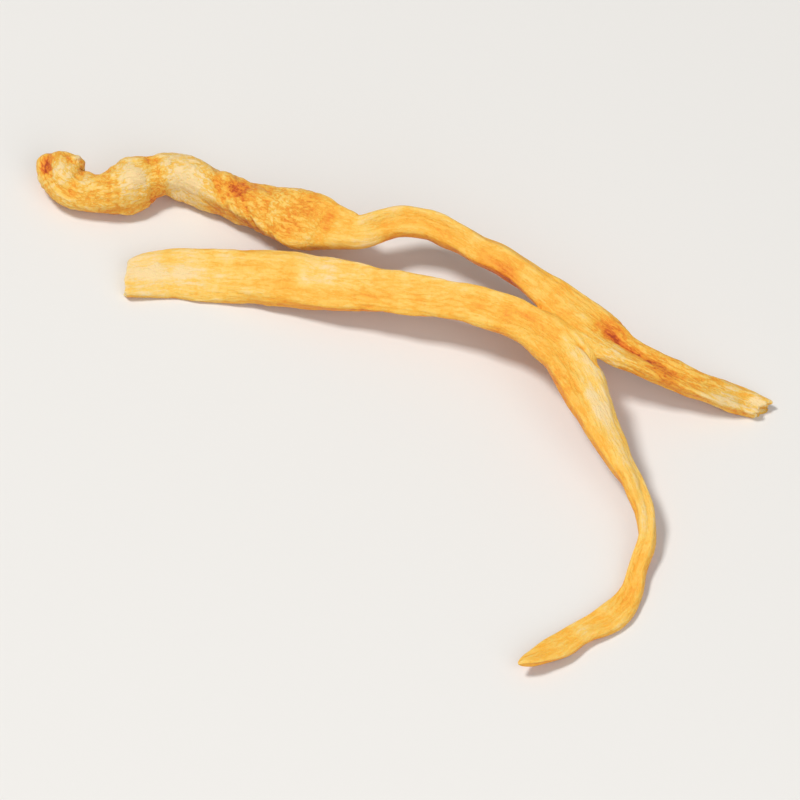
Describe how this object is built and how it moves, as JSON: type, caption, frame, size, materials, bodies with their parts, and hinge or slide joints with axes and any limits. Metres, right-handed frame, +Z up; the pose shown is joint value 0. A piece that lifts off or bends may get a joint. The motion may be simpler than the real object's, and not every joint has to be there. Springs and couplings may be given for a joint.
{
  "type": "dried cordyceps fruit body",
  "caption": "Forked dried cordyceps fruit body: flat pale stalk, lumpy club head and slender curled branches, fused at a fork and lying on a table.",
  "frame": {"origin": "on the table, below the middle of the box around the fruit body", "axes": "+Z up from the table; +X along the fruit body, from the club head and the base towards the short branch; +Y away from the viewer, towards the club head; the long branch runs to -Y"},
  "size_m": [0.0748, 0.0651, 0.0077],
  "materials": {
    "dried_flesh": "dried orange fungal flesh, matte, wrinkled and finely grained, paler at the base"
  },
  "bodies": {
    "root": {"stem": "dried_flesh", "club_branch": "dried_flesh", "long_branch": "dried_flesh", "short_branch": "dried_flesh"}
  },
  "joints": []
}
